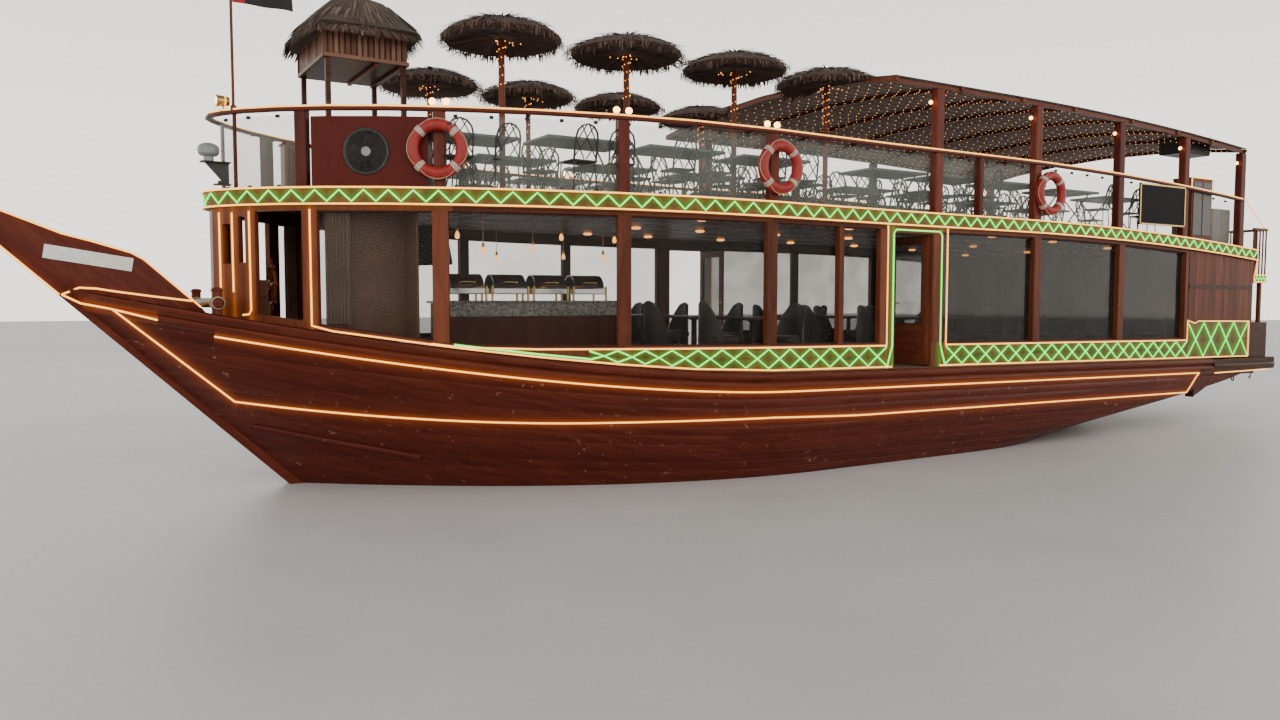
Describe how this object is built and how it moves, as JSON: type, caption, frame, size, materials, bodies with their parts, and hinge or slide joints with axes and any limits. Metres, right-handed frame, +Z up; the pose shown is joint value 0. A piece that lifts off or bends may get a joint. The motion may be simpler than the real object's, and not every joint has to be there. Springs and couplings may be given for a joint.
{
  "type": "two-deck motor dhow",
  "caption": "Timber dhow for dinner cruises: glazed saloon, open upper deck with thatched parasols and an arched canopy, raised stem head, rudder and propeller.",
  "frame": {"origin": "on the centreline at the waterline, amidships", "axes": "+X to the bow, +Y to port, +Z up"},
  "size_m": [23.4026, 6.71, 8.59],
  "materials": {
    "hull_paint": "red-brown gloss paint on planks, worn above the waterline",
    "dark_wood": "dark oiled timber",
    "varnished_wood": "reddish timber under varnish",
    "white_paint": "satin white, blank",
    "rope_light": "clear warm light tube",
    "bronze": "cast bronze, dull",
    "glass": "clear flat glass",
    "black_paint": "satin black",
    "net": "brown shade net",
    "thatch": "dry palm thatch",
    "ring_red": "orange-red shell with pale bands",
    "flag_cloth": "woven flag cloth",
    "steel": "bright metal"
  },
  "bodies": {
    "boat": {"hull": "hull_paint", "keel": "dark_wood", "stem": "hull_paint", "name_plate_port": "white_paint", "name_plate_starboard": "white_paint", "wale_port": "dark_wood", "wale_starboard": "dark_wood", "hull_lights_port": "rope_light", "hull_lights_starboard": "rope_light", "stern_platform": "dark_wood", "wall_port": "varnished_wood", "wall_starboard": "varnished_wood", "wall_front": "varnished_wood", "wall_aft": "varnished_wood", "glass_forward_port": "glass", "glass_forward_starboard": "glass", "glass_aft_port": "glass", "glass_aft_starboard": "glass", "upper_deck": "varnished_wood", "fascia": "varnished_wood", "stern_landing": "varnished_wood", "railing_port": "varnished_wood", "railing_starboard": "varnished_wood", "railing_bow": "varnished_wood", "rail_glass_port": "glass", "rail_glass_quarter": "glass", "rail_glass_bow": "glass", "fan_housing": "varnished_wood", "canopy_frame": "varnished_wood", "canopy_net": "net", "hut_frame": "varnished_wood", "hut_roof": "thatch", "parasol_port_1": "thatch", "parasol_port_2": "thatch", "parasol_port_3": "thatch", "parasol_port_4": "thatch", "parasol_starboard_1": "thatch", "parasol_starboard_2": "thatch", "parasol_starboard_3": "thatch", "parasol_starboard_4": "thatch", "life_ring_port_1": "ring_red", "life_ring_port_2": "ring_red", "life_ring_port_3": "ring_red", "life_ring_starboard_1": "ring_red", "life_ring_starboard_2": "ring_red", "life_ring_starboard_3": "ring_red", "bow_bitts": "dark_wood", "flagpole": "varnished_wood", "flag": "flag_cloth", "searchlight": "steel", "wheel_stand": "varnished_wood", "sign_board": "black_paint", "aft_cabinet": "varnished_wood", "serving_counter": "varnished_wood"},
    "rudder": {"rudder": "dark_wood"},
    "propeller": {"propeller": "bronze"},
    "helm": {"ship_wheel": "varnished_wood"},
    "door_port": {"door_port": "varnished_wood"},
    "door_starboard": {"door_starboard": "varnished_wood"},
    "fan": {"fan_rotor": "black_paint"}
  },
  "joints": [
    {"name": "rudder_turn", "type": "hinge", "parent": "boat", "child": "rudder", "pos_m": [-9.1, 0, -0.7], "axis": [0, 0, 1], "range_deg": [-35, 35]},
    {"name": "helm_turn", "type": "hinge", "parent": "boat", "child": "helm", "pos_m": [8.1, 0.3, 2.7], "axis": [1, 0, 0], "range_deg": [-540, 540]},
    {"name": "propeller_spin", "type": "hinge", "parent": "boat", "child": "propeller", "pos_m": [-8.3, 0, -0.85], "axis": [1, 0, 0], "continuous": true},
    {"name": "door_port_swing", "type": "hinge", "parent": "boat", "child": "door_port", "pos_m": [-1.1707, 3.085, 2.5], "axis": [0, 0, 1], "range_deg": [0, 90]},
    {"name": "door_starboard_swing", "type": "hinge", "parent": "boat", "child": "door_starboard", "pos_m": [-1.1707, -3.085, 2.5], "axis": [0, 0, -1], "range_deg": [0, 90]},
    {"name": "fan_spin", "type": "hinge", "parent": "boat", "child": "fan", "pos_m": [7.21568, 1.65912, 4.32], "axis": [0.5402, 0.8415, 0], "continuous": true}
  ],
  "couplings": [
    {"joint": "helm_turn", "follows": "rudder_turn", "ratio": 15.4}
  ]
}
